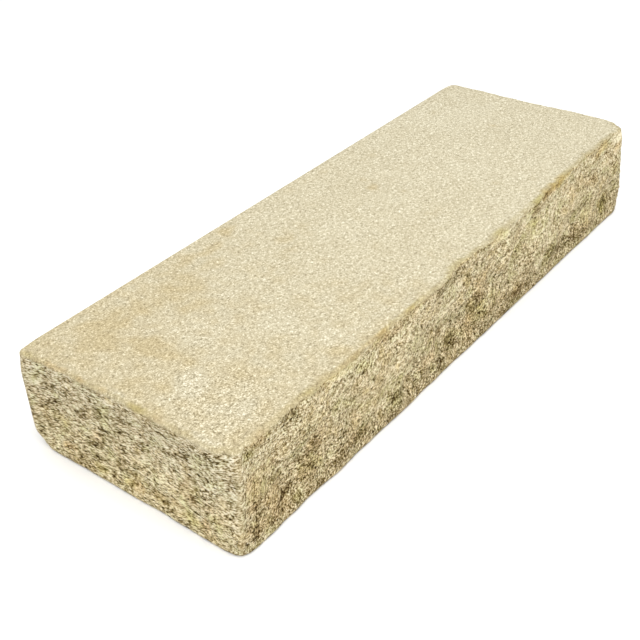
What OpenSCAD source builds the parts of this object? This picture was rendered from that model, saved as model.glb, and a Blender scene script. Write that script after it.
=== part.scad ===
// Concrete block step, cast as one solid piece: a smooth flat tread and bed, a
// plain back, and a rough split-rock face along the front and over both ends.
// Millimetres, +Z up. X runs along the step, -Y is the rough front, +Y the plain
// back, and the origin is the middle of the bed.

/* [Block] */
// Length over the two rough ends
block_length = 1000; // [600:10:1300]
// Depth from the rough front to the plain back
block_depth = 350; // [250:10:450]
// Height, which is the rise of one step
block_height = 150; // [100:5:200]

/* [Corners and arrises] */
// Radius of the two upright corners at the rough front, seen from above
front_corner_radius = 5; // [4:1:30]
// Radius of the upright corner at the back of the left end, seen from above
left_back_radius = 5; // [4:1:30]
// Radius of the upright corner at the back of the right end, seen from above
right_back_radius = 12; // [4:1:30]
// Rounding of the worn arris round the tread
tread_arris = 4; // [2:0.5:8]
// Rounding of the worn arris round the bed
bed_arris = 5; // [2:0.5:8]
// How much the left front corner is worn back at the tread
left_corner_wear = 11; // [0:0.5:14]
// How much the right front corner is worn back at the tread
right_corner_wear = 22; // [0:0.5:24]
// How much the two back corners are worn back at the tread
back_corner_wear = 4; // [0:0.5:10]
// How much each corner is worn back at the bed
bed_corner_wear = 4; // [0:0.5:12]
// How far the right front corner is broken back, most at the tread
right_corner_break = 17; // [0:0.5:20]
// How far the wear of a corner spreads from its tip
wear_reach = 34; // [25:1:55]

/* [Split face] */
// Depth of the deepest hollow of the front behind the nominal face
front_relief_depth = 14; // [6:1:20]
// Depth of the deepest hollow of the two ends behind the nominal face
end_relief_depth = 10; // [6:1:20]
// How far the split line wanders in along the tread
tread_wander = 5; // [1:0.5:6]
// How far the rough face wanders in along the bed
bed_wander = 3; // [0.5:0.5:4]
// How far the rough face wanders in along the upright corners
corner_wander = 3; // [0.5:0.5:6]
// How far the tread's front edge runs in toward its right end
tread_draw = 10; // [0:0.5:14]
// Width of the border over which the relief grows to its full depth
lip = 26; // [10:1:40]
// Width of the broad hollows and bulges
relief_wave = 120; // [80:10:200]
// Lean of the split's grain from level along the front, in degrees
front_grain_lean = 30; // [0:5:60]
// Lean of the split's grain from level across the ends, in degrees
end_grain_lean = 10; // [0:5:60]
// Spacing of the points that carry the relief
relief_pitch = 10; // [9:1:20]
// How unevenly those points lie, as a share of their spacing
relief_scatter = 0.6; // [0:0.1:0.8]
// Number of the random pattern
relief_seed = 5; // [1:1:50]

/* [Hidden] */
SAND = [0.80, 0.74, 0.58];

half = [block_length / 2, block_depth / 2];
turn_reach = 60;  // the push direction starts to turn this far from a corner
arc_steps = 4;    // flats in the quarter turn of a corner or an arris
back_fade = 24;   // the relief of an end dies out this far before the back
break_at_bed = 0.3;   // share of the right corner's break that is left at the bed
draw_from = 0.68;     // the tread's edge runs in from this share of the length
draw_to = 0.8;        // and is all the way in at this one
trim = 2;         // the skin runs past tread and bed before they are cut level
grain = 1.7;      // hollows are this much longer along the grain than across it

// Deep bites in the front: from the left end, up from the bed, half length,
// half height
bites = [
    [92, 52, 70, 38],
    [118, 146, 30, 16],
    [345, 32, 34, 22],
    [442, 58, 44, 52],
    [465, 142, 46, 18],
    [552, 74, 36, 22],
    [725, 143, 28, 16],
    [802, 38, 52, 24],
    [955, 44, 44, 36]
];
// Bulges left proud in the front, given in the same way
bulges = [
    [300, 90, 110, 62],
    [600, 110, 50, 40],
    [700, 75, 90, 58],
    [868, 82, 70, 44]
];

// ---- random relief -------------------------------------------------------

function hash(c) =
    let (s = sin(c.x * 127.1 + c.y * 311.7 + c.z * 74.7 + relief_seed * 53.3) * 43758.5453)
    s - floor(s);

function mix(a, b, t) = a + (b - a) * t;
function clip(t) = min(max(t, 0), 1);
function smooth(t) = let (u = clip(t)) u * u * (3 - 2 * u);

// Smooth value noise in space, 0 to 1
function noise(p) =
    let (
        c = [floor(p.x), floor(p.y), floor(p.z)],
        f = [smooth(p.x - c.x), smooth(p.y - c.y), smooth(p.z - c.z)],
        layer = [for (k = [0, 1]) [for (j = [0, 1])
            mix(hash(c + [0, j, k]), hash(c + [1, j, k]), f.x)]]
    )
    mix(mix(layer[0][0], layer[0][1], f.y), mix(layer[1][0], layer[1][1], f.y), f.z);

// Noise folded at its middle, which leaves the sharp ridges of a split
function ridge(p) = 1 - abs(2 * noise(p) - 1);

// The point seen along a grain of this lean, so that the pattern is drawn out that way
function along_grain(p, lean) =
    let (along = p.x - p.y)
    [
        (along * cos(lean) + p.z * sin(lean)) / grain,
        (p.x + p.y) / grain,
        p.z * cos(lean) - along * sin(lean)
    ];

// Depth of the split behind the nominal face, as a share of the full relief
function split(p, lean) =
    let (q = along_grain(p, lean) / relief_wave)
    0.8 * noise(q * 1.3) + 0.5 * ridge(q * 2.9 + [7, 3, 5]) + 0.3 * noise(q * 6.7 + [1, 9, 4]) - 0.42;

// 1 in the middle of a patch [along, up, half length, half height], 0 outside it
function patch(list, u, z) =
    max([for (b = list) 1 - smooth(norm([(u - b[0]) / b[2], (z - b[1]) / b[3]]))]);

// 1 on the front face, 0 on the ends and the back
function on_front(s) = smooth((front_corner_radius - half.y - s.y) / front_corner_radius);

// ---- plan outline --------------------------------------------------------

// The outline's stations are [x, y]. They run clockwise from the back of the
// right end: right end, front, left end, back, each with the corner after it.
corner_signs = [[1, 1], [1, -1], [-1, -1], [-1, 1]];
corner_radii = [right_back_radius, front_corner_radius, front_corner_radius, left_back_radius];
function corner_centre(k) =
    [for (i = [0, 1]) corner_signs[k % 4][i] * (half[i] - corner_radii[k % 4])];

// The plain back keeps only its stations near the corners
function side(k) =
    let (
        a = corner_centre(k) + corner_radii[k] * [cos(-90 * k), sin(-90 * k)],
        b = corner_centre(k + 1) + corner_radii[(k + 1) % 4] * [cos(-90 * k), sin(-90 * k)],
        steps = ceil(norm(b - a) / relief_pitch),
        near = ceil(turn_reach / relief_pitch)
    )
    [for (i = [0:steps]) if (k < 3 || i <= near || i >= steps - near) mix(a, b, i / steps)];

function corner(k) =
    [for (i = [1:arc_steps - 1])
        let (turn = -90 * (k - 1) - 90 * i / arc_steps)
        corner_centre(k) + corner_radii[k % 4] * [cos(turn), sin(turn)]];

outline = [for (k = [0:3]) each concat(side(k), corner(k + 1))];

// Unit vector from a station into the open. It is square to a face and swings
// round slowly near a corner, so that pushed points never cross.
function open_way(s) =
    let (
        core = [for (i = [0, 1]) min(max(s[i], turn_reach - half[i]), half[i] - turn_reach)],
        d = s - core
    )
    d / norm(d);

// ---- skin ----------------------------------------------------------------

// How far a quarter-round arris of radius r steps back at distance d from its plane
function arris_step(r, d) = d >= r ? 0 : r - sqrt(r * r - (r - d) * (r - d));

// Gaps from a station to the nominal end and to the nominal front or back
function gaps(s) = [for (i = [0, 1]) max(half[i] - abs(s[i]), 0)];

// 1 at the tip of a corner, 0 beyond the reach of its wear
function at_tip(s, d) = 1 - smooth(norm(concat(gaps(s), [d])) / wear_reach);

// How much a corner is worn back at the tread
function tread_corner_wear(s) =
    s.y > 0 ? back_corner_wear : s.x > 0 ? right_corner_wear : left_corner_wear;

// How far the right front corner is broken back: all the way at the tread, less at the bed
function corner_break(s, z) =
    let (height_share = mix(break_at_bed, 1, z / block_height))
    s.y < 0 && s.x > 0 ? right_corner_break * at_tip(s, 0) * height_share : 0;

// How deep the relief may go at a point: little at the borders, most inside
function reach(s, z) =
    let (most = mix(end_relief_depth, front_relief_depth, on_front(s)))
    min(
        mix(tread_wander, most, smooth((block_height - z) / lip)),
        mix(bed_wander, most, smooth(z / lip)),
        mix(corner_wander, most, smooth((norm(gaps(s)) - front_corner_radius / 2) / lip))
    ) * smooth((half.y - s.y) / back_fade);

// Unit vector along the face that a station lies on
function along_face(s) = half.y - abs(s.y) < trim ? [1, 0] : [0, 1];

// How far a point may stray from its even place: not at the borders or on the back
function stray(s, z) =
    relief_scatter * relief_pitch
        * smooth(min(z - bed_arris, block_height - tread_arris - z) / relief_pitch)
        * smooth((norm(gaps(s)) - lip / 2) / lip)
        * smooth((half.y - s.y - back_fade) / back_fade);

// How far the split leans in under the tread's edge toward its right end
function edge_draw(s, z) =
    tread_draw * (z / block_height)
        * smooth(((s.x + half.x) / block_length - draw_from) / (draw_to - draw_from))
        * smooth(1 - (s.y + half.y) / turn_reach);

function skin_point(station, height) =
    let (
        level = min(max(height, 0), block_height),
        way = open_way(station),
        shift = stray(station, level) * (hash([station.x, station.y, level]) - 0.5),
        lift = stray(station, level) * (hash([level, station.x, station.y]) - 0.5),
        s = station + shift * along_face(station),
        z = level + lift,
        worn = arris_step(tread_arris, block_height - z) + arris_step(bed_arris, z)
            + max(
                tread_corner_wear(s) * at_tip(s, block_height - z),
                corner_break(s, z),
                edge_draw(s, z)
            )
            + bed_corner_wear * at_tip(s, z),
        u = s.x + half.x,
        placed = 0.6 * patch(bites, u, z) - 0.4 * patch(bulges, u, z),
        p = [s.x, s.y, z],
        broken = mix(split(p, end_grain_lean), split(p, front_grain_lean), on_front(s)),
        depth = reach(s, z) * clip(broken + on_front(s) * placed) + worn
    )
    [s.x - way.x * depth, s.y - way.y * depth, height + lift];

// Ring heights: close together round each arris, then at the relief's pitch
function arris_rings(r) = [for (i = [0:arc_steps - 1]) r * (1 - cos(90 * i / arc_steps))];
body_rings = ceil((block_height - tread_arris - bed_arris) / relief_pitch);
heights = concat(
    [-trim],
    arris_rings(bed_arris),
    [for (i = [0:body_rings])
        mix(bed_arris, block_height - tread_arris, i / body_rings)],
    [for (i = [arc_steps - 1:-1:0]) block_height - arris_rings(tread_arris)[i]],
    [block_height + trim]
);

module rock_skin() {
    n = len(outline);
    rings = len(heights);
    bottom = n * rings;
    top = bottom + 1;
    polyhedron(
        points = concat(
            [for (z = heights) each [for (s = outline) skin_point(s, z)]],
            [[0, 0, -trim], [0, 0, block_height + trim]]
        ),
        faces = concat(
            [for (r = [0:rings - 2]) each [for (i = [0:n - 1])
                let (
                    a = r * n + i,
                    b = r * n + (i + 1) % n
                )
                each (r + i) % 2 == 0
                    ? [[a, b, a + n], [b, b + n, a + n]]
                    : [[a, b, b + n], [a, b + n, a + n]]]],
            [for (i = [0:n - 1]) [bottom, (i + 1) % n, i]],
            [for (i = [0:n - 1]) [top, bottom - n + i, bottom - n + (i + 1) % n]]
        )
    );
}

// The skin, cut level at the bed and at the tread
module step_block() {
    color(SAND)
        intersection() {
            rock_skin();
            translate([-block_length, -block_depth, 0])
                cube([2 * block_length, 2 * block_depth, block_height]);
        }
}

step_block();
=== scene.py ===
# Concrete block step: one casting with a smooth sandy tread, lying on a pale studio floor.
import math

import bpy
import numpy as np
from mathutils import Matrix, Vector
from mathutils.bvhtree import BVHTree
from mathutils.geometry import delaunay_2d_cdt


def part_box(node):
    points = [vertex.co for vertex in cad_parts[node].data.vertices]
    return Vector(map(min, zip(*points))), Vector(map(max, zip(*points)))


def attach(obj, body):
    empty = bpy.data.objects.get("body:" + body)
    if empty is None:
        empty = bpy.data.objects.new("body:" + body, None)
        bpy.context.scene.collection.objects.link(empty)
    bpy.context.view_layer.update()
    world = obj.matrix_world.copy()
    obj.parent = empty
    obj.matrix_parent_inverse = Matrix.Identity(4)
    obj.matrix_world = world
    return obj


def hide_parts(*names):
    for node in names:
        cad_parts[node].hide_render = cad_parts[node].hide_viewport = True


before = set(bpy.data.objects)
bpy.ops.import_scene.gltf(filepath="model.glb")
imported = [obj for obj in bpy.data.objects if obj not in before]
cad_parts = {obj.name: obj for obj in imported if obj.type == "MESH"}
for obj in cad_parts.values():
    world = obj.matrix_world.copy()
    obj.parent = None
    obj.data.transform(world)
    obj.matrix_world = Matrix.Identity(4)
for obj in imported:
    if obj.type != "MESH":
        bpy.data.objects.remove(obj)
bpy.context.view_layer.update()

# ---- The block -----------------------------------------------------------------------------
# The whole step is one casting of sandy concrete, smooth from the mould on tread, bed and back.
# Its front and both ends are split: hollowed, with broken grains and a ragged arris under the
# tread. It lies loose on its bed. Lengths in this section are in millimetres.

MM = 0.001
block_low, block_high = (np.array(corner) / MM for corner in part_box("step_block"))
half_length = max(-block_low[0], block_high[0])
half_depth = max(-block_low[1], block_high[1])
height = block_high[2]

# Radii of the corners seen from above, and of the arrises along the tread and the bed
front_corner, left_back_corner, right_back_corner = 5.0, 5.0, 12.0
tread_arris, bed_arris = 4.0, 5.0

# Spacing of the points on the split faces, the plain back, the tread and the bed
split_pitch, back_pitch, tread_pitch, bed_pitch = 1.95, 14.0, 5.5, 22.0
turn_reach = 60.0   # within this distance of a corner, hollows go in on a slant


def ease(t):
    """A smooth step, 0 up to 0 and 1 from 1 on."""
    t = np.clip(t, 0.0, 1.0)
    return t * t * (3 - 2 * t)


def plan_outline():
    """Stations round the block seen from above, clockwise from the back of the right end."""
    signs = [(1, 1), (1, -1), (-1, -1), (-1, 1)]
    radii = [right_back_corner, front_corner, front_corner, left_back_corner]
    centres = [np.array([sx * (half_length - r), sy * (half_depth - r)])
               for (sx, sy), r in zip(signs, radii)]
    stops = []
    for side in range(4):   # right end, front, left end, back
        out = np.array([math.cos(-math.pi / 2 * side), math.sin(-math.pi / 2 * side)])
        corner = (side + 1) % 4
        start = centres[side] + radii[side] * out
        finish = centres[corner] + radii[corner] * out
        pitch = back_pitch if side == 3 else split_pitch
        steps = math.ceil(np.linalg.norm(finish - start) / pitch)
        stops += [start + (finish - start) * i / steps for i in range(steps)]
        arc_steps = math.ceil(math.pi / 2 * radii[corner] / split_pitch)
        for i in range(arc_steps):
            turn = -math.pi / 2 * (side + i / arc_steps)
            on_arc = radii[corner] * np.array([math.cos(turn), math.sin(turn)])
            stops.append(centres[corner] + on_arc)
    return np.array(stops)


stations = plan_outline()
core = np.clip(stations, [turn_reach - half_length, turn_reach - half_depth],
               [half_length - turn_reach, half_depth - turn_reach])
outward = stations - core
outward /= np.linalg.norm(outward, axis=1)[:, None]

# Heights of the skin's rows, closer together on the two arrises
face_rows = math.ceil((height - tread_arris - bed_arris) / split_pitch)
bed_arris_rows, tread_arris_rows = 4, 5
levels = np.concatenate([
    bed_arris * (1 - np.cos(np.linspace(0, math.pi / 2, bed_arris_rows + 1)[:-1])),
    np.linspace(bed_arris, height - tread_arris, face_rows + 1),
    height - tread_arris * (1 - np.cos(np.linspace(math.pi / 2, 0, tread_arris_rows + 1)[1:]))])
rows, columns = len(levels), len(stations)

# The solid gives the block's broad hollows and bulges: it is felt from outside, point by point
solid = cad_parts["step_block"]
felt = BVHTree.FromPolygons([v.co[:] for v in solid.data.vertices],
                            [p.vertices[:] for p in solid.data.polygons])
start_gap = 20.0   # each feeler starts this far outside
arris_gap = 0.5    # and keeps this far from the arrises
broad = np.zeros((rows, columns))
for row, level in enumerate(levels):
    level = min(max(level, bed_arris + arris_gap), height - tread_arris - arris_gap)
    for column in range(columns):
        from_point = np.append(stations[column] + outward[column] * start_gap, level) * MM
        inward = (-outward[column][0], -outward[column][1], 0)
        hit = felt.ray_cast(Vector(from_point), Vector(inward))
        broad[row, column] = (hit[3] / MM - start_gap) if hit[0] is not None else 0.0


def soften(field, passes):
    """Rubs down a field on the skin; it is closed round the block and open at bed and tread."""
    for _ in range(passes):
        field = 0.25 * np.roll(field, 1, 1) + 0.5 * field + 0.25 * np.roll(field, -1, 1)
        padded = np.vstack([field[:1], field, field[-1:]])
        field = 0.25 * padded[:-2] + 0.5 * padded[1:-1] + 0.25 * padded[2:]
    return field


# The facets of the solid are rubbed smooth, but not on the back, which is flat
broad_rubs = 4
at_back = stations[:, 1] > half_depth - 1
broad = np.where(at_back[None, :], broad, soften(broad, broad_rubs))

# Each skin point's place on the plain block, before the split: every grain is drawn from it
skin = np.empty((rows, columns, 3))
skin[..., 0] = stations[:, 0]
skin[..., 1] = stations[:, 1]
skin[..., 2] = levels[:, None]


def chance(ix, iy, iz, seed):
    """A fixed random number, 0 to 1, for each cell of space."""
    mask = np.uint64(0xFFFFFFFF)
    h = (ix.astype(np.int64) * 73856093) ^ (iy.astype(np.int64) * 19349663)
    h = (h ^ (iz.astype(np.int64) * 83492791) ^ (seed * 374761393)).astype(np.uint64) & mask
    h = ((h ^ (h >> np.uint64(16))) * np.uint64(0x7FEB352D)) & mask
    h = ((h ^ (h >> np.uint64(15))) * np.uint64(0x846CA68B)) & mask
    return (h ^ (h >> np.uint64(16))).astype(float) / 4294967296.0


def waves(p, size, seed):
    """Soft random waves in space, about -1 to 1, with hollows and bulges this size apart."""
    q = p / size
    cell = np.floor(q)
    f = q - cell
    w = f * f * f * (f * (f * 6 - 15) + 10)
    total = 0.0
    for dx in (0, 1):
        for dy in (0, 1):
            for dz in (0, 1):
                x, y, z = cell[..., 0] + dx, cell[..., 1] + dy, cell[..., 2] + dz
                slope = [2 * chance(x, y, z, seed + k) - 1 for k in range(3)]
                rise = (slope[0] * (f[..., 0] - dx) + slope[1] * (f[..., 1] - dy)
                        + slope[2] * (f[..., 2] - dz))
                wx = w[..., 0] if dx else 1 - w[..., 0]
                wy = w[..., 1] if dy else 1 - w[..., 1]
                wz = w[..., 2] if dz else 1 - w[..., 2]
                total = total + rise * wx * wy * wz
    return total * 1.8


def grains(p, size, seed):
    """Broken grains this size: the tone of the nearest one, and how far in its tilted face is."""
    q = p / size
    cell = np.floor(q)
    nearest = np.full(q.shape[:-1], 9.0)
    tone = np.zeros_like(nearest)
    face = np.zeros_like(nearest)
    for dx in (-1, 0, 1):
        for dy in (-1, 0, 1):
            for dz in (-1, 0, 1):
                x, y, z = cell[..., 0] + dx, cell[..., 1] + dy, cell[..., 2] + dz
                off = [(x, y, z)[k] + 0.1 + 0.8 * chance(x, y, z, seed + k) - q[..., k]
                       for k in range(3)]
                gap = np.sqrt(off[0] ** 2 + off[1] ** 2 + off[2] ** 2)
                closer = gap < nearest
                tilt = sum((2 * chance(x, y, z, seed + 4 + k) - 1) * off[k] for k in range(3))
                nearest = np.where(closer, gap, nearest)
                tone = np.where(closer, chance(x, y, z, seed + 3), tone)
                face = np.where(closer, tilt, face)
    return tone, face


short_reach = 50.0   # the end's grain gets shorter within this distance of the front


def along_grain(p, lean, stretch, shorter=0.0):
    """The same points seen so that a pattern is drawn out along the split's grain.

    The lean is in degrees up to the right. On the end the pattern can be drawn out less towards
    the front corner, by the share shorter.
    """
    a = math.radians(lean)
    run = p[..., 0] - p[..., 1] + half_length - half_depth
    run = run + shorter * short_reach * np.exp(np.minimum(run, 0) / short_reach)
    up = p[..., 2] - height / 2
    across = p[..., 0] + p[..., 1]
    return np.stack([(run * math.cos(a) + up * math.sin(a)) / stretch, across / stretch,
                     up * math.cos(a) - run * math.sin(a)], -1)


def patches(places, run, up, ragged, tilt=0.0):
    """Adds up patches given as (middle along, middle up, half length, half height, strength).

    A tilt in degrees leans them up to the right.
    """
    reach, fray = 1.45, 0.4   # in half sizes: where a patch ends, and how far its outline wanders
    total = np.zeros_like(run)
    level, rise = math.cos(math.radians(tilt)), math.sin(math.radians(tilt))
    for along, above, half_long, half_high, strength in places:
        on, over = run - along, up - above
        gap = np.sqrt(((on * level + over * rise) / half_long) ** 2
                      + ((over * level - on * rise) / half_high) ** 2)
        total += strength * ease(reach - gap + fray * ragged)
    return total


# Where a point lies: run_front goes right along the front, run_end forward along the left end,
# and round_corner from the end to the front, past 0 at the corner, whose own look reaches this far
corner_reach = 14
run_front = skin[..., 0] + half_length
run_end = half_depth - skin[..., 1]
below_tread = height - skin[..., 2]
round_corner = run_front - (skin[..., 1] + half_depth)
corner_gap = np.where(skin[..., 1] < 0, np.abs(round_corner), half_length)
at_end = ease(0.5 - round_corner / corner_reach)
facing_front = ease(-outward[:, 1] * 2 - 0.4)[None, :] * (1 - at_end)
facing_end = ease(-outward[:, 0] * 2 - 0.4)[None, :] * at_end
ragged = waves(skin, 22, 91) + 0.5 * waves(skin, 9, 92)


def stretches(places, run):
    """The same for places along an edge, given as (middle along, half length, strength)."""
    places = [(along, 0, half_long, 1, strength) for along, half_long, strength in places]
    return patches(places, run, 0 * run, ragged)


# Where the face is split, 0 to 1: not on the back, and not on the smooth rim under the tread,
# which is mostly a thin line, and wider on the end, on the front's first 200 mm, at the front
# left corner and in a few places along the front
wide_rims = [(235, 42, 2.5), (385, 34, 1.5), (612, 26, 2.5)]
thinnest_rim, widest_rim = 0.4, 9
rim = 1.6 + 1.1 * waves(skin * [1, 1, 0.5], 12, 12) + 2.2 * facing_end
rim = rim + facing_front * 1.6 * ease(2.0 - run_front / 100)
rim = rim + facing_front * stretches(wide_rims, run_front)
rim = np.clip(rim + 1.0 * ease(1.3 - corner_gap / corner_reach), thinnest_rim, widest_rim)
past_rim = below_tread - rim
split = ease(past_rim / 2.0 + 0.5) * ease((half_depth - 0.5 - skin[..., 1]) / 5)
rough_end = ease((half_depth - 6 - skin[..., 1]) / 22)

# Nicks, where the split has broken into the tread's edge, as (middle along, half length, depth)
front_nicks = [
    (17, 6, 1.2), (46, 13, 1.6), (98, 12, 2.6), (168, 10, 1.0), (470, 28, 3.2), (510, 9, 2.0),
    (572, 12, 2.0), (703, 12, 2.4), (845, 14, 1.5)]
end_nicks = [
    (48, 7, 1.2), (84, 11, 1.2), (222, 10, 0.8), (255, 7, 1.0), (318, 9, 0.8)]
nicks = (facing_front * stretches(front_nicks, run_front)
         + facing_end * stretches(end_nicks, run_end)
         + 1.3 * ease(0.5 + waves(skin * [1, 1, 0.3], 15, 98))) * rough_end

# The split's grain rises to the right along the front, and runs nearly level across the ends.
# It wanders by a few millimetres
front_lean, front_stretch, front_crumb_stretch = 22, 2.6, 1.8
end_lean, end_stretch, end_crumb_stretch, end_shorter = 2, 4.8, 3.8, 0.9
chip_size, crumb_size = 6.5, 3.4
flow = np.stack([waves(skin, 90, 81), waves(skin, 90, 84), waves(skin, 90, 87)], -1) * 4


def broken(lean, stretch, crumb_stretch, shorter=0.0):
    """Relief of a split face in millimetres, hollows above 0, and the tone of its grains."""
    leaned = along_grain(skin + flow, lean, stretch, shorter)
    chip_tone, chip_face = grains(leaned, chip_size, 31)
    crumb_leaned = along_grain(skin + flow, lean, crumb_stretch, shorter)
    crumb_tone, crumb_face = grains(crumb_leaned, crumb_size, 41)
    seams = ease(1 - np.abs(waves(leaned, 5.5, 61)) / 0.17)
    seams = seams * (0.25 + 0.75 * ease(0.5 + 1.3 * waves(leaned, 22, 62)))
    relief = (0.4 * (chip_tone - 0.5) + 1.0 * chip_face
              + 0.4 * (crumb_tone - 0.5) + 0.5 * crumb_face
              + 0.3 * (1 - 2 * np.abs(waves(leaned, 16, 51)))
              + 0.3 * waves(leaned, 8, 52) + 0.3 * waves(leaned, 3.6, 53) + 0.8 * seams)
    return relief, chip_tone * 0.5 + crumb_tone * 0.5


front_relief, front_tone = broken(front_lean, front_stretch, front_crumb_stretch)
end_relief, end_tone = broken(end_lean, end_stretch, end_crumb_stretch, end_shorter)
relief = front_relief + at_end * (end_relief - front_relief)
grain_tone = front_tone + at_end * (end_tone - front_tone)

# The relief fades out at the arrises. The split lies a little further in than the solid's face,
# so that the grains that stand out from it stay inside the block
toward_edge = ease(np.minimum(0.1 + below_tread / 8, 0.22 + skin[..., 2] / 22)) * rough_end
fine = relief * split * toward_edge
set_in = 0.8 * split * toward_edge


def quarter_round(radius, gap):
    """How far in an arris of this radius is, at this distance from the edge."""
    inside = np.clip(radius - gap, 0, radius)
    return radius - np.sqrt(radius ** 2 - inside ** 2)


worn = quarter_round(tread_arris, below_tread) + quarter_round(bed_arris, skin[..., 2])
nick_down = 16.0   # the nicks run out this far under the tread
depth = np.maximum(broad + set_in + fine, 0.0) + worn + nicks * ease(1 - below_tread / nick_down)

# The front left corner has lost a wedge of the end, widest at the tread, and is squarer for it
wedge_width, wedge_on_end, wedge_on_front, wedge_foot = 13.0, 24.0, 42.0, 25.0
wedge = np.clip(1 - np.where(round_corner < 0, -round_corner / wedge_on_end,
                             round_corner / wedge_on_front), 0, 1) * (skin[..., 1] < 0)
wedge = wedge_width * wedge * np.clip((skin[..., 2] - wedge_foot) / (height - wedge_foot), 0, 1)
squarer, square_reach, square_down = 6.0, 16.0, 60.0
depth = depth - squarer * ease(1.2 - corner_gap / square_reach) * ease(1 - below_tread / square_down)
depth = np.maximum(depth, 0)

# The feet of this corner and of the back left one are blunt
front_blunt, front_blunt_reach, front_blunt_high = 3.0, 11.0, 24.0
back_blunt, back_blunt_reach, back_blunt_high = 5.0, 18.0, 26.0
back_corner_gap = run_front + run_end
depth = depth + (front_blunt * ease(1.2 - corner_gap / front_blunt_reach)
                 * ease(1.1 - skin[..., 2] / front_blunt_high))
depth = depth + (back_blunt * ease(1.2 - back_corner_gap / back_blunt_reach)
                 * ease(1.1 - skin[..., 2] / back_blunt_high))
points = skin.copy()
points[..., 0] += wedge
points[..., 0] -= outward[:, 0] * depth
points[..., 1] -= outward[:, 1] * depth


def level_face(rim_points, pitch, margin):
    """Fills a level face inside the skin's edge: its new points and its triangles."""
    nearest_share = 0.7   # no new point lies nearer to the edge than this share of the pitch
    same_point = 1e-6     # and points this close together are one
    xs = np.arange(-half_length + pitch, half_length, pitch)
    ys = np.arange(-half_depth + pitch, half_depth, pitch)
    grid = np.array([(x + (i % 2) * pitch / 2, y) for i, y in enumerate(ys) for x in xs])
    batch = 400
    gap = np.full(len(grid), np.inf)
    for first in range(0, len(rim_points), batch):
        batch_points = rim_points[None, first:first + batch]
        gap = np.minimum(gap, np.linalg.norm(grid[:, None] - batch_points, axis=2).min(1))
    inside = (np.abs(grid[:, 0]) < half_length - margin) & (np.abs(grid[:, 1]) < half_depth - margin)
    grid = grid[inside & (gap > nearest_share * pitch)]
    n = len(rim_points)
    edges = [(i, (i + 1) % n) for i in range(n)]
    flat = [Vector(p) for p in rim_points] + [Vector(p) for p in grid]
    _, _, faces, origins, _, _ = delaunay_2d_cdt(flat, edges, [], 1, same_point)
    faces = [[origins[v][0] for v in face] for face in faces]
    used = sorted({v for face in faces for v in face if v >= n})
    place_of = {v: n + i for i, v in enumerate(used)}
    return grid[[v - n for v in used]], [[place_of.get(v, v) for v in face] for face in faces]


tread_margin, bed_margin = 9.0, 20.0
tread_inner, tread_faces = level_face(points[-1, :, :2], tread_pitch, tread_margin)
bed_inner, bed_faces = level_face(points[0, :, :2], bed_pitch, bed_margin)

# The tread is worn down by up to 1 mm, in wide shallow places that start inside its edge
wear_start = 20.0
edge_gap = np.min(np.stack([half_length - np.abs(tread_inner[:, 0]),
                            half_depth - np.abs(tread_inner[:, 1])], 1), 1)
tread_points = np.c_[tread_inner, np.full(len(tread_inner), height)]
wear = 0.35 + 0.25 * waves(tread_points, 70, 71) + 0.3 * waves(tread_points, 14, 72)
tread_points[:, 2] -= np.clip(wear, 0, 1) * ease((edge_gap - tread_margin) / wear_start)
bed_points = np.c_[bed_inner, np.zeros(len(bed_inner))]

skin_count = rows * columns
here = np.arange(skin_count).reshape(rows, columns)
beside = np.roll(here, -1, 1)
skin_faces = np.stack([here[:-1], here[1:], beside[1:], beside[:-1]], -1).reshape(-1, 4).tolist()


def numbered(faces, edge_start, inner_start, flip):
    """A level face's triangles in the whole mesh's numbering, turned to face outwards."""
    turned = []
    for face in faces:
        face = [edge_start + v if v < columns else inner_start + v - columns for v in face]
        turned.append(face[::-1] if flip else face)
    return turned


tread_start, bed_start = skin_count, skin_count + len(tread_points)
all_points = np.vstack([points.reshape(-1, 3), tread_points, bed_points])
all_faces = (skin_faces
             + numbered(tread_faces, (rows - 1) * columns, tread_start, False)
             + numbered(bed_faces, 0, bed_start, True))

mesh = bpy.data.meshes.new("block_step_stone")
mesh.from_pydata((all_points * MM).tolist(), [], all_faces)
mesh.shade_smooth()
block = bpy.data.objects.new("block_step_stone", mesh)
bpy.context.scene.collection.objects.link(block)


def note(name, values, tread_value, bed_value):
    """Writes one number per point, for the concrete's colour to read."""
    layer = mesh.attributes.new(name, "FLOAT", "POINT")
    whole = np.concatenate([values.ravel(), np.broadcast_to(tread_value, len(tread_points)),
                            np.broadcast_to(bed_value, len(bed_points))])
    layer.data.foreach_set("value", whole.astype(np.float32))


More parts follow.
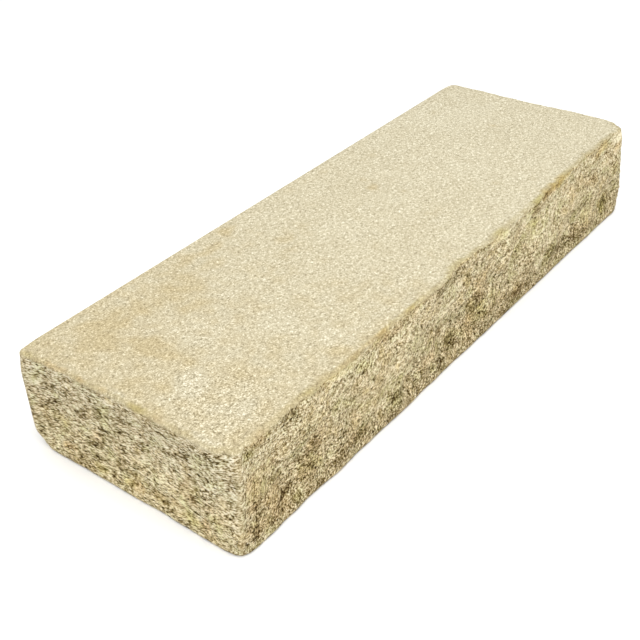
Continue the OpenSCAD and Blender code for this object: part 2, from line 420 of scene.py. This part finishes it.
# Dark and pale patches of the split faces, with frayed outlines, partly the concrete's own weathered
# tone and partly painted shade in its hollows and under the nicks of the arris: each is given as
# (middle along, middle up, half length, half height, strength), dark below 0 and pale above
front_patches = [
    (40, 140, 20, 6, -0.8), (22, 136, 7, 9, -0.7), (102, 139, 17, 8, -1.2),
    (230, 146, 22, 5, 0.5), (128, 93, 24, 18, -0.4), (147, 67, 7, 13, -1.5),
    (164, 59, 8, 6, -0.6), (132, 60, 9, 6, -0.8), (78, 66, 11, 9, -0.7), (95, 33, 12, 7, -1.6),
    (68, 22, 18, 8, -0.6), (42, 9, 22, 5, 0.7), (27, 24, 8, 16, -0.9), (30, 68, 16, 14, -0.35),
    (39, 50, 9, 16, -0.7), (115, 62, 7, 8, -0.6), (135, 40, 16, 9, -0.5), (198, 38, 8, 12, -0.6),
    (228, 22, 20, 6, -1.2), (194, 18, 24, 8, -0.7), (178, 8, 12, 5, 0.6), (144, 9, 12, 5, -0.6),
    (223, 92, 6, 15, -0.4), (301, 36, 7, 8, -1.2), (322, 33, 11, 6, -1.3), (300, 9, 12, 7, -0.8),
    (362, 48, 8, 7, -0.5), (385, 89, 8, 8, -0.6), (397, 66, 9, 6, -0.6), (420, 66, 15, 7, -1.2),
    (412, 80, 13, 4, -0.6), (456, 66, 7, 8, -0.9), (475, 60, 9, 8, -1.1), (452, 34, 11, 11, -1.5),
    (420, 15, 10, 12, -0.8), (382, 24, 8, 12, -0.5), (358, 16, 10, 8, -0.7),
    (418, 140, 20, 9, -1.3), (465, 135, 16, 9, -0.8), (443, 143, 8, 5, -0.7),
    (494, 112, 8, 14, -0.6), (493, 64, 9, 13, -0.7), (163, 140, 9, 5, -0.5),
    (515, 68, 8, 14, -0.9), (528, 68, 20, 16, -0.4), (601, 86, 9, 9, -0.5),
    (634, 90, 16, 12, -0.5), (630, 126, 8, 8, -0.6), (672, 142, 13, 8, -1.2),
    (686, 129, 14, 7, -0.8), (714, 143, 15, 6, -0.9), (726, 130, 13, 7, -0.6),
    (776, 137, 11, 5, -0.4), (759, 136, 8, 5, -0.5), (765, 146, 12, 4, 0.5),
    (790, 145, 16, 6, 0.8), (736, 38, 13, 11, -1.2), (762, 30, 8, 9, -1.3),
    (796, 22, 20, 6, -0.6), (838, 18, 26, 7, -0.8), (632, 20, 18, 8, -1.2),
    (660, 20, 12, 7, -1.0), (512, 58, 12, 8, -0.7), (516, 35, 15, 14, -0.6), (506, 19, 8, 6, 0.4),
    (556, 37, 7, 10, -0.5), (584, 50, 12, 9, 0.6), (592, 9, 22, 8, -0.8), (530, 8, 14, 7, -0.6),
    (592, 24, 10, 6, -0.5), (848, 66, 22, 7, -0.8), (857, 84, 9, 6, -0.6), (838, 105, 7, 5, -0.6),
    (884, 98, 10, 7, -1.0), (891, 133, 11, 5, -0.4), (869, 141, 12, 4, -0.6),
    (938, 33, 16, 13, -1.3), (920, 47, 8, 6, 0.5), (946, 56, 8, 5, -0.4), (881, 20, 8, 8, -0.5),
    (964, 82, 9, 8, -0.7), (828, 40, 8, 9, -0.4), (660, 42, 10, 8, -0.5), (506, 131, 7, 6, -0.5),
    (526, 142, 9, 6, -0.6), (544, 131, 8, 6, -0.5), (792, 108, 10, 7, 0.5),
    (200, 140, 26, 7, 1.2), (312, 124, 24, 5, 0.6), (300, 132, 11, 5, -0.5),
    (322, 141, 16, 5, -0.5), (437, 91, 24, 9, 1.2), (468, 113, 17, 8, 1.1),
    (398, 38, 11, 10, 1.0), (338, 52, 13, 11, 1.0), (280, 38, 14, 14, 0.6), (443, 56, 8, 9, 0.5),
    (166, 130, 10, 5, 0.6), (124, 138, 9, 5, 0.5), (110, 119, 10, 7, 0.7), (88, 94, 13, 7, 0.6),
    (235, 55, 16, 12, 0.4), (206, 27, 9, 6, 0.6), (363, 136, 14, 6, 0.6), (304, 78, 26, 16, 0.6),
    (247, 88, 9, 7, 0.6), (246, 133, 10, 5, 0.6), (153, 107, 8, 8, 0.5), (95, 63, 6, 7, 0.5),
    (570, 139, 28, 7, 1.2), (615, 145, 34, 8, 0.9), (657, 126, 12, 14, 1.1),
    (737, 131, 14, 6, 1.0), (826, 131, 13, 4, 0.7), (915, 136, 11, 8, 1.1),
    (970, 139, 24, 10, 1.5), (876, 138, 20, 6, 0.8), (975, 117, 9, 8, 1.2), (788, 45, 14, 7, 1.0),
    (808, 40, 18, 7, 0.8), (702, 38, 22, 10, 1.0), (700, 88, 45, 12, 0.4), (760, 92, 7, 8, 0.7),
    (724, 66, 12, 10, 0.7), (868, 38, 10, 11, 0.9), (535, 54, 10, 5, 0.7), (606, 93, 6, 6, 0.8),
    (938, 107, 12, 16, 0.6), (760, 112, 40, 9, 0.5), (20, 88, 9, 14, 0.2)]
end_patches = [
    (53, 116, 9, 5, -0.8), (129, 110, 8, 8, -1.0), (110, 104, 10, 5, -0.8), (46, 90, 11, 5, -1.3),
    (97, 93, 11, 5, -1.3), (95, 105, 8, 4, 0.6), (137, 84, 9, 6, -1.5), (128, 98, 8, 6, -0.8),
    (173, 113, 8, 6, -1.0), (189, 117, 6, 5, -0.7), (270, 116, 9, 8, -1.0),
    (242, 102, 9, 5, -1.1), (238, 118, 9, 5, 0.8), (257, 110, 6, 5, -0.6), (342, 111, 7, 6, -1.4),
    (279, 93, 6, 8, -0.6), (259, 62, 9, 5, -0.9), (278, 54, 6, 10, -0.8), (290, 70, 6, 10, -0.8),
    (163, 68, 9, 5, -1.5), (144, 40, 6, 8, -0.6), (158, 46, 8, 5, -0.4), (182, 42, 9, 5, 0.7),
    (110, 50, 12, 5, -1.3), (112, 33, 9, 5, -0.8), (70, 25, 9, 4, -0.6), (80, 11, 28, 5, -0.9),
    (42, 23, 11, 6, 0.8), (101, 22, 9, 4, 0.6), (231, 14, 10, 6, -0.8), (262, 21, 9, 6, 0.7),
    (30, 58, 12, 7, -0.9), (4, 60, 6, 20, -1.2), (14, 97, 8, 8, -0.6), (28, 76, 9, 6, -0.9),
    (247, 36, 7, 4, -0.5), (196, 89, 10, 6, -0.8), (345, 28, 5, 6, -0.7), (322, 24, 10, 6, 0.8),
    (306, 133, 9, 5, -0.6), (229, 96, 9, 5, 0.4), (185, 142, 24, 4, 0.4), (50, 140, 6, 4, -0.7),
    (85, 140, 7, 4, -0.6), (295, 46, 5, 9, -0.6), (160, 105, 9, 4, -0.6), (130, 58, 9, 5, -0.6),
    (62, 90, 6, 5, -0.6), (91, 73, 8, 4, -0.5), (222, 141, 11, 5, -0.5), (256, 141, 7, 5, -0.5),
    (318, 138, 12, 6, -0.4), (148, 132, 11, 5, 1.3), (192, 130, 9, 5, 0.9), (76, 86, 7, 5, 0.8),
    (140, 90, 7, 4, 0.9), (250, 92, 17, 8, 0.9), (242, 75, 8, 8, 0.6), (106, 66, 8, 8, 0.8),
    (182, 62, 14, 7, 0.6), (175, 78, 25, 5, 0.7), (220, 55, 15, 7, 0.9), (200, 70, 9, 6, 0.8),
    (325, 90, 22, 9, 0.5), (244, 29, 8, 5, 0.9), (314, 50, 9, 6, 0.6), (108, 119, 10, 5, 0.6),
    (18, 115, 10, 9, 0.5), (86, 132, 8, 5, 0.7), (80, 121, 8, 5, -0.7), (161, 142, 10, 4, 0.6),
    (188, 31, 9, 5, 0.7), (166, 36, 8, 5, -0.5), (346, 36, 6, 8, 0.8), (204, 40, 6, 10, 0.4),
    (25, 135, 14, 7, 0.4)]
front_leaned = along_grain(skin + flow, front_lean, front_stretch)
end_leaned = along_grain(skin + flow, end_lean, end_stretch, end_shorter)


def frayed(leaned):
    """How the outlines of the patches wander, drawn out along the grain."""
    return 1.2 * waves(leaned, 10, 91) + 0.9 * waves(leaned, 4.5, 92)


end_patch_tilt = 18
# The dark patches are partly painted shade, in hollows and under the nicks of the arris
weather_and_shade_patches = (
    facing_front * patches(front_patches, run_front, skin[..., 2], frayed(front_leaned))
    + facing_end * patches(end_patches, run_end, skin[..., 2], frayed(end_leaned), end_patch_tilt))

# Small random blotches lean up more steeply than the grain does on the end
blotch_lean_front, blotch_lean_end = 24, 16
blotches = (
    facing_end * 0.42 * waves(along_grain(skin + flow, blotch_lean_end, 4.5, end_shorter), 11, 97)
    + facing_front * 0.2 * waves(along_grain(skin + flow, blotch_lean_front, 1.8), 14, 97))

# Lighter above 0 and darker below: the front is darker low down and lighter near the tread, the left
# end is made lighter all over, which is painted light, and is paler near the tread, the far right end
# has random patches only, and every face gets a painted contact shadow along its foot
streaked = 1 + 0.5 * waves(front_leaned, 5, 94)
front_heights = [0, 30, 50, 75, 95, 130, 150]
front_shades = [-0.7, -0.45, -0.15, 0.0, 0.12, 0.22, 0.15]
shade = (np.where(weather_and_shade_patches < 0, 1.3 * streaked, 1.2) * weather_and_shade_patches
         + np.clip(1 - facing_front - facing_end, 0, 1) * 0.9 * waves(skin + flow, 45, 93)
         + facing_front * np.interp(skin[..., 2], front_heights, front_shades)
         # painted light: the whole left end is made lighter
         + facing_end * (0.2 + 0.3 * ease(1.3 - below_tread / 14))
         # painted contact shadow along the foot of every face
         + blotches - 0.5 * ease(1.4 - skin[..., 2] / 4))

# The casting is tan in some places and greenish yellow in others, most of all along the tread's
# edge. These are given as (middle along, down from the tread's edge, half sizes, strength), and
# those less than 0 down lie in from the edge on the tread
front_tans = [
    (275, 7, 20, 7, 0.6), (308, 12, 26, 10, 0.45), (345, 6, 18, 8, 0.4), (48, 6, 22, 8, 0.5),
    (28, 70, 22, 26, 0.3), (240, -2, 80, 4, 0.3), (368, 4, 14, 5, 0.4), (730, 6, 28, 9, 0.9),
    (762, 6, 16, 9, 0.8), (912, 12, 30, 9, 0.6), (975, 32, 9, 9, 0.4), (938, 42, 12, 14, 0.4),
    (40, 58, 34, 16, 0.5), (60, 90, 40, 14, 0.5), (60, 122, 46, 16, 0.6), (148, 84, 16, 16, 0.5),
    (135, 108, 24, 20, 0.5), (230, 126, 26, 8, 0.5), (235, 96, 18, 14, 0.3),
    (395, 112, 26, 12, 0.5), (420, 84, 16, 9, 0.5), (490, 116, 16, 20, 0.6),
    (525, 70, 24, 26, 0.5), (560, 112, 40, 14, 0.4), (635, 130, 24, 9, 0.6),
    (686, 20, 16, 9, 0.4), (845, 128, 30, 9, 0.35), (830, 45, 36, 10, 0.3), (880, 52, 14, 9, 0.3)]
end_tans = [
    (66, -2, 16, 6, 0.5), (113, -4, 9, 6, 0.8), (144, -6, 9, 6, 0.8), (240, -2, 12, 4, 0.3),
    (118, 82, 12, 9, 0.5), (64, 124, 14, 6, 0.8), (60, 84, 14, 9, 0.4), (173, 131, 18, 7, 0.7),
    (215, 128, 12, 7, 0.5), (244, 120, 10, 6, 0.5), (294, 125, 7, 12, 0.6),
    (270, 88, 18, 14, 0.5), (318, 100, 18, 12, 0.4)]
front_yellows = [
    (137, -3, 16, 4, 0.5), (355, -2, 18, 4, 0.6), (565, -3, 12, 5, 0.6), (683, -1, 16, 4, 0.8),
    (300, -3, 50, 4, 0.4), (465, -3, 40, 5, 0.3), (740, -3, 26, 4, 0.4), (200, 7, 30, 7, 0.4),
    (672, 8, 14, 9, 0.7), (720, 5, 22, 6, 0.5), (576, 10, 24, 7, 0.4), (765, 5, 30, 6, 0.6),
    (915, 14, 30, 10, 0.6), (128, 50, 26, 18, 0.2), (135, 104, 16, 12, 0.2),
    (397, 84, 12, 8, 0.5), (452, 112, 16, 14, 0.6), (494, 40, 8, 14, 0.4), (498, 88, 12, 14, 0.5),
    (515, 108, 18, 16, 0.5), (634, 60, 18, 14, 0.3), (680, 36, 20, 8, 0.5),
    (736, 110, 14, 14, 0.4), (860, 108, 18, 16, 0.5), (930, 114, 26, 18, 0.8),
    (964, 68, 10, 12, 0.5), (270, 90, 16, 10, 0.3)]
end_yellows = [
    (203, -1, 13, 6, 1.0), (282, -5, 10, 5, 0.5), (15, 0, 14, 6, 0.6), (117, 133, 14, 7, 1.0),
    (270, 131, 18, 8, 1.0), (170, 116, 20, 8, 0.5), (147, 106, 10, 10, 0.5),
    (40, 80, 16, 10, 0.4), (100, 98, 16, 9, 0.3), (60, 104, 12, 9, 0.3), (222, 90, 22, 10, 0.3),
    (185, 94, 18, 8, 0.3), (245, 104, 14, 8, 0.3), (222, 132, 14, 6, 0.4)]

tan = (facing_front * 0.75 * patches(front_tans, run_front, below_tread, ragged)
       + facing_end * 0.8 * patches(end_tans, run_end, below_tread, ragged))
yellow = (facing_front * patches(front_yellows, run_front, below_tread, ragged)
          + facing_end * 0.65 * patches(end_yellows, run_end, below_tread, ragged)
          + 0.15 * ease(1.0 - below_tread / 7 + 0.9 * waves(skin, 26, 96)) * rough_end
          + 0.15 * facing_end * ease((60 - skin[..., 2]) / 60))

# The arris under the tread is darker: partly along the end, fully along the front from 180 mm on,
# and most of all beyond 750 mm. The end is greyer towards the tread, as is the front left corner, and
# the foot is greyed, partly as painted contact shadow and partly as a darker bed arris
dull_arris = (ease(1.6 - below_tread / 4) * rough_end * (0.55 + 0.7 * waves(skin, 30, 89))
              * (0.45 * facing_end + facing_front * (ease(run_front / 150 - 0.2)
                                                    + 0.5 * ease(run_front / 60 - 11.5))))
# the grey at the foot is partly painted contact shadow
grey_and_foot_shadow = (0.9 * facing_end * ease((skin[..., 2] - 40) / 90) + 0.6 * ease(1.3 - skin[..., 2] / 5)
        + 0.35 * ease(1.3 - corner_gap / corner_reach))

# How strongly the grains stand out, 1 being usual: patches of the front and of the tread are
# calmer or livelier, the end varies at random and is a little livelier low down, and the front
# left corner is calmer except near the tread
front_lively = [(275, 75, 60, 40, -0.18), (825, 85, 90, 40, -0.15), (680, 90, 30, 30, -0.1),
                (120, 60, 60, 50, 0.08), (500, 75, 60, 50, 0.12)]
tread_lively = [(60, 70, 60, 70, 0.28)]
lively = (1 + facing_end * (0.06 * ease(1.6 - skin[..., 2] / 70)
                           + 0.25 * waves(along_grain(skin + flow, blotch_lean_end, 2.5), 20, 90))
          + facing_front * patches(front_lively, run_front, skin[..., 2], 0.5 * ragged)
          - 0.35 * ease(1.4 - corner_gap / 6) * ease(2.2 - skin[..., 2] / 60))

# Painted shade in the hollows, 0 to 1: their bottoms are coloured darker than the grains between them
hollow_rubs = 10
hollow = fine - soften(fine, hollow_rubs)
note("split", split, 0.0, 0.0)
note("hollow", np.clip(0.5 + 0.28 * hollow, 0, 1), 0.5, 0.5)
note("grain_tone", grain_tone, 0.5, 0.5)
note("at_end", at_end, 0.0, 0.0)
note("shade", shade, 0.0, 0.0)

# The tread is tanner at the back of its left end and paler towards the right end, with smaller
# patches given as (middle along, in from the front, half sizes, strength), tan ones below 0
tread_patches = [
    (12, 135, 12, 22, -0.3), (125, 300, 30, 30, -0.6), (105, 205, 18, 42, -0.6),
    (78, 285, 30, 34, -0.4), (200, 285, 50, 32, -0.5), (315, 315, 24, 10, -0.9),
    (275, 322, 22, 10, -0.5), (284, 285, 18, 12, -0.5), (361, 331, 17, 11, -1.0),
    (390, 245, 15, 12, -0.9), (193, 237, 20, 10, -0.5), (200, 207, 12, 10, -0.5),
    (126, 80, 14, 26, -0.4), (30, 22, 18, 10, -0.4), (223, 25, 12, 14, -0.6),
    (372, 10, 20, 7, -0.3), (60, 240, 60, 90, -0.3), (584, 234, 9, 8, -0.8),
    (575, 280, 28, 44, -0.3), (600, 187, 8, 8, -0.8), (654, 300, 8, 8, -0.5),
    (672, 305, 26, 24, -0.4), (875, 194, 6, 9, -1.0), (860, 140, 6, 8, -0.9),
    (548, 115, 45, 12, -0.4), (737, 46, 6, 8, -0.7), (703, 20, 16, 9, -0.5),
    (575, 328, 40, 10, -0.4), (695, 88, 5, 9, -0.7), (920, 300, 12, 10, -0.5),
    (867, 305, 8, 6, -0.9), (870, 180, 50, 24, -0.2), (959, 93, 8, 10, -0.4),
    (8, 180, 9, 16, 0.8), (8, 58, 9, 30, 0.6), (137, 178, 13, 24, 0.6), (76, 128, 24, 20, 0.8),
    (160, 100, 16, 10, 0.3), (176, 56, 12, 12, 0.4), (80, 50, 22, 14, 0.5),
    (226, 122, 28, 22, 0.5), (273, 93, 28, 10, 0.4), (372, 100, 12, 10, 0.5),
    (460, 187, 36, 34, 0.5), (363, 200, 12, 10, 0.4), (432, 300, 18, 18, 0.3),
    (526, 207, 18, 9, 0.7), (570, 182, 8, 6, 0.8), (710, 140, 36, 34, 0.3),
    (850, 265, 50, 32, 0.5), (930, 238, 28, 13, 1.1), (856, 321, 44, 9, 0.8),
    (522, 60, 26, 12, 0.4)]
run_tread = tread_points[:, 0] + half_length
tread_ragged = waves(tread_points, 40, 94) + 0.6 * waves(tread_points, 16, 95)
from_end = half_length + tread_points[:, 0]
from_front = half_depth + tread_points[:, 1]
run_back = half_depth - tread_points[:, 1]
tread_tan = (patches(front_tans, run_tread, -from_front, tread_ragged)
             + patches(end_tans, run_back, -from_end, tread_ragged))
tread_yellow = (patches(front_yellows, run_tread, -from_front, tread_ragged)
                + patches(end_yellows, run_back, -from_end, tread_ragged))
to_split_edge = np.minimum(from_end, from_front)
tread_yellow = tread_yellow + 0.3 * ease(1.0 - to_split_edge / 9 + 0.6 * tread_ragged)
note("grey_and_foot_shadow", np.clip(grey_and_foot_shadow, 0, 1), 0.0, 0.0)
note("tan", tan, tread_tan, 0.0)
note("yellow", yellow, tread_yellow, 0.0)
note("dull", np.clip(dull_arris, 0, 1), 0.0, 0.0)
note("lively", lively, 1 + patches(tread_lively, run_tread, from_front, tread_ragged), 1.0)
paler_reach, paler_share, note_share = 900, 1.1, 0.36
tread_shade = patches(tread_patches, run_tread, from_front, tread_ragged)
tread_shade = tread_shade + 0.4 * waves(tread_points, 19, 99)
tread_shade = tread_shade + paler_share * ease(run_tread / paler_reach) - 0.4
rim_shade = patches(tread_patches, run_front, skin[..., 1] + half_depth, ragged)
rim_shade = rim_shade + paler_share * ease(run_front / paler_reach) - 0.6
note("weather", 0.5 + note_share * rim_shade, 0.5 + note_share * tread_shade, 0.5)

# Places for the fine streaks to be drawn from, along each face's grain. The front's get longer
# beyond 600 mm, and the end's are longer than its chips
long_from, long_reach, long_share = 600, 400, 0.2
end_streak_stretch = 1.15 * end_stretch
for name, lean, stretch, shorter in (("front_grain", front_lean, front_stretch, 0.0),
                                     ("end_grain", end_lean, end_streak_stretch, end_shorter)):
    place = along_grain(all_points, lean, stretch, shorter)
    place[:skin_count] = along_grain(skin + flow, lean, stretch, shorter).reshape(-1, 3)
    if name == "front_grain":
        beyond = np.maximum(all_points[:, 0] + half_length - long_from, 0) / long_reach
        place[:, 0] -= long_share * beyond ** 2 * long_reach / stretch
    layer = mesh.attributes.new(name, "FLOAT_VECTOR", "POINT")
    layer.data.foreach_set("vector", (place * MM).astype(np.float32).ravel())


def tint(red, green, blue):
    """A colour given as it looks on a screen, 0 to 255."""
    parts = [part / 255 for part in (red, green, blue)]
    return [p / 12.92 if p < 0.04045 else ((p + 0.055) / 1.055) ** 2.4 for p in parts] + [1.0]


# The sand of the tread from its darkest to its palest grains, and its tan to pale clouds
sand_colours = [(0.32, tint(141, 132, 107)), (0.44, tint(182, 173, 148)),
                (0.56, tint(201, 193, 167)), (0.68, tint(238, 233, 214))]
cloud_colours = [(0.1, tint(236, 227, 207)), (0.5, tint(247, 245, 240)),
                 (0.9, tint(255, 255, 254))]
# The split from its dark pits, whose darkness is partly painted shade, to its cream grains, and the
# faint tints that drift over it
split_colours = [(0.32, tint(52, 35, 0)), (0.42, tint(126, 110, 68)), (0.50, tint(182, 167, 129)),
                 (0.58, tint(221, 209, 174)), (0.68, tint(243, 236, 208))]
split_tints = [(0.32, tint(243, 246, 222)), (0.45, tint(250, 250, 245)),
               (0.56, tint(254, 250, 247)), (0.70, tint(249, 241, 220))]
grey_wash, yellow_wash = tint(246, 248, 254), tint(243, 241, 205)
tan_wash, dull_wash = tint(248, 231, 206), tint(229, 224, 210)

concrete = bpy.data.materials.new("sandy_concrete")
concrete.use_nodes = True
nodes, links = concrete.node_tree.nodes, concrete.node_tree.links
surface = nodes["Principled BSDF"]
surface.inputs["Roughness"].default_value = 0.9
surface.inputs["Specular IOR Level"].default_value = 0.2
place = nodes.new("ShaderNodeTexCoord").outputs["Object"]


def feed(socket, value):
    """Gives a socket a plain value or another node's output."""
    if isinstance(value, (int, float, list)):
        socket.default_value = value
    else:
        links.new(value, socket)


def speckle(size, detail=2.0, roughness=0.6, where=place):
    """Random cloudy pattern with features this many millimetres across."""
    noise = nodes.new("ShaderNodeTexNoise")
    noise.inputs["Scale"].default_value = 1 / (size * MM)
    noise.inputs["Detail"].default_value = detail
    noise.inputs["Roughness"].default_value = roughness
    links.new(where, noise.inputs["Vector"])
    return noise.outputs["Fac"]


def noted(name, kind="Fac"):
    """What was written at the points under this name."""
    reader = nodes.new("ShaderNodeAttribute")
    reader.attribute_name = name
    return reader.outputs[kind]


def combine(operation, first, second):
    """Two patterns or numbers put together by one step of arithmetic."""
    step = nodes.new("ShaderNodeMath")
    step.operation = operation
    feed(step.inputs[0], first)
    feed(step.inputs[1], second)
    return step.outputs[0]


def plus(first, second):
    return combine("ADD", first, second)


def minus(first, second):
    return combine("SUBTRACT", first, second)


def times(first, second):
    return combine("MULTIPLY", first, second)


def livened(pattern):
    """A pattern about 0.5, weaker or stronger where the grains stand out less or more."""
    return plus(times(minus(pattern, 0.5), noted("lively")), 0.5)


def ramp(pattern, colours):
    """Colours a pattern by (value, colour) pairs."""
    scale = nodes.new("ShaderNodeValToRGB")
    links.new(pattern, scale.inputs[0])
    stops = scale.color_ramp.elements
    while len(stops) < len(colours):
        stops.new(0.5)
    for stop, (value, colour) in zip(stops, colours):
        stop.position = value
        stop.color = colour
    return scale.outputs[0]


def blend(share, under, over, kind="MIX"):
    """One colour laid over another, by this share."""
    share_in, under_in, over_in, colour_out = 0, 6, 7, 2   # the mixer's sockets for colours
    mixer = nodes.new("ShaderNodeMix")
    mixer.data_type = "RGBA"
    mixer.blend_type = kind
    feed(mixer.inputs[share_in], share)
    feed(mixer.inputs[under_in], under)
    feed(mixer.inputs[over_in], over)
    return mixer.outputs[colour_out]


def washed(colour, name, wash):
    """The colour under a thin wash, as strong as noted under this name."""
    return blend(noted(name), colour, blend(1.0, colour, wash, "MULTIPLY"))


# Tread: pale sand with paler and darker grains, tanner or paler in wide patches
fine_sand, coarse_sand = 2.1, 5.0
sand = plus(times(speckle(fine_sand, 1.0, 0.7), 0.62), times(speckle(coarse_sand, 2.0, 0.6), 0.44))
sand = ramp(livened(minus(sand, 0.03)), sand_colours)
clouds = plus(noted("weather"), times(minus(speckle(60, 3.0), 0.5), 0.5))
tread_colour = blend(1.0, sand, ramp(clouds, cloud_colours), "MULTIPLY")

# Split: dark pits between cream grains, drawn out along the grain of each face. The pits' darkness
# is partly painted shade
fine_streak, coarse_streak = 1.4, 3.0
streaks = []
for name, fine_share, coarse_share in (("front_grain", 0.82, 0.37), ("end_grain", 0.84, 0.27)):
    grain_place = noted(name, "Vector")
    both = plus(times(speckle(fine_streak, 1.0, 0.7, grain_place), fine_share),
                times(speckle(coarse_streak, 2.0, 0.6, grain_place), coarse_share))
    streaks.append(minus(both, 0.5 * (fine_share + coarse_share) - 0.5))
front_or_end = nodes.new("ShaderNodeMix")
links.new(noted("at_end"), front_or_end.inputs["Factor"])
links.new(streaks[0], front_or_end.inputs["A"])
links.new(streaks[1], front_or_end.inputs["B"])
grit = livened(front_or_end.outputs[0])
# The split's lightness: the painted shade of the hollows, the grit, the grains' own tone and the
# noted shade
light = plus(times(minus(0.5, noted("hollow")), 0.35),
             plus(grit, times(minus(noted("grain_tone"), 0.5), 0.05)))
light = plus(light, times(noted("shade"), 0.055))
split_colour = blend(0.9, ramp(light, split_colours), ramp(speckle(26, 3.0), split_tints), "MULTIPLY")
split_colour = washed(split_colour, "grey_and_foot_shadow", grey_wash)

colour = blend(noted("split"), tread_colour, split_colour)
colour = washed(colour, "yellow", yellow_wash)
colour = washed(colour, "tan", tan_wash)
colour = washed(colour, "dull", dull_wash)
links.new(colour, surface.inputs["Base Color"])

# The grains are rough to the touch, five times as much on the split as on the tread
rough = nodes.new("ShaderNodeBump")
rough.inputs["Distance"].default_value = 1.0 * MM
rough.inputs["Strength"].default_value = 0.9
links.new(times(grit, plus(times(noted("split"), 1.6), 0.4)), rough.inputs["Height"])
links.new(rough.outputs[0], surface.inputs["Normal"])

mesh.materials.append(concrete)
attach(block, "root")
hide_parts("step_block")

# ---- The floor -----------------------------------------------------------------------------
# A plain pale studio floor of painted board, wide enough to run out of sight. The block only
# lies on it, and it isn't part of the block. Lengths from here on are in metres.

floor_half_size = 30
floor_mesh = bpy.data.meshes.new("floor")
floor_mesh.from_pydata([(x * floor_half_size, y * floor_half_size, 0)
                        for x, y in ((-1, -1), (1, -1), (1, 1), (-1, 1))], [], [(0, 1, 2, 3)])
floor = bpy.data.objects.new("floor", floor_mesh)
bpy.context.scene.collection.objects.link(floor)
pale = bpy.data.materials.new("pale_floor")
pale.use_nodes = True
paint = pale.node_tree.nodes["Principled BSDF"]
paint.inputs["Base Color"].default_value = (0.92, 0.92, 0.92, 1)
paint.inputs["Roughness"].default_value = 0.9
floor_mesh.materials.append(pale)

# ---- Light ---------------------------------------------------------------------------------
# An even white room, and one big soft lamp that hangs above the block, a little to the front
# left, and points at its middle.

room = bpy.data.worlds.new("room")
bpy.context.scene.world = room
room.use_nodes = True
room.node_tree.nodes["Background"].inputs["Color"].default_value = (1, 1, 1, 1)
room.node_tree.nodes["Background"].inputs["Strength"].default_value = 0.9

lamp_light = bpy.data.lights.new("overhead", "AREA")
lamp_light.energy = 60
lamp_light.size = 2.5
lamp = bpy.data.objects.new("overhead", lamp_light)
lamp.location = (-0.6, -0.8, 2.6)
block_middle = Vector((0, 0, 0.1))
lamp.rotation_euler = (block_middle - Vector(lamp.location)).to_track_quat("-Z", "Y").to_euler()
bpy.context.scene.collection.objects.link(lamp)

# ---- Camera --------------------------------------------------------------------------------
# It stands off the front left corner, above the tread, and looks down along the block. Its frame
# takes in the whole block.

lens = bpy.data.cameras.new("camera")
lens.lens = 58.59
lens.sensor_width = 36
camera = bpy.data.objects.new("camera", lens)
camera.location = (-1.0624, -0.7594, 0.8728)
camera.rotation_euler = [math.radians(v) for v in (55.631, 2.408, -52.531)]
bpy.context.scene.collection.objects.link(camera)
bpy.context.scene.camera = camera
bpy.context.scene.view_settings.view_transform = "Standard"
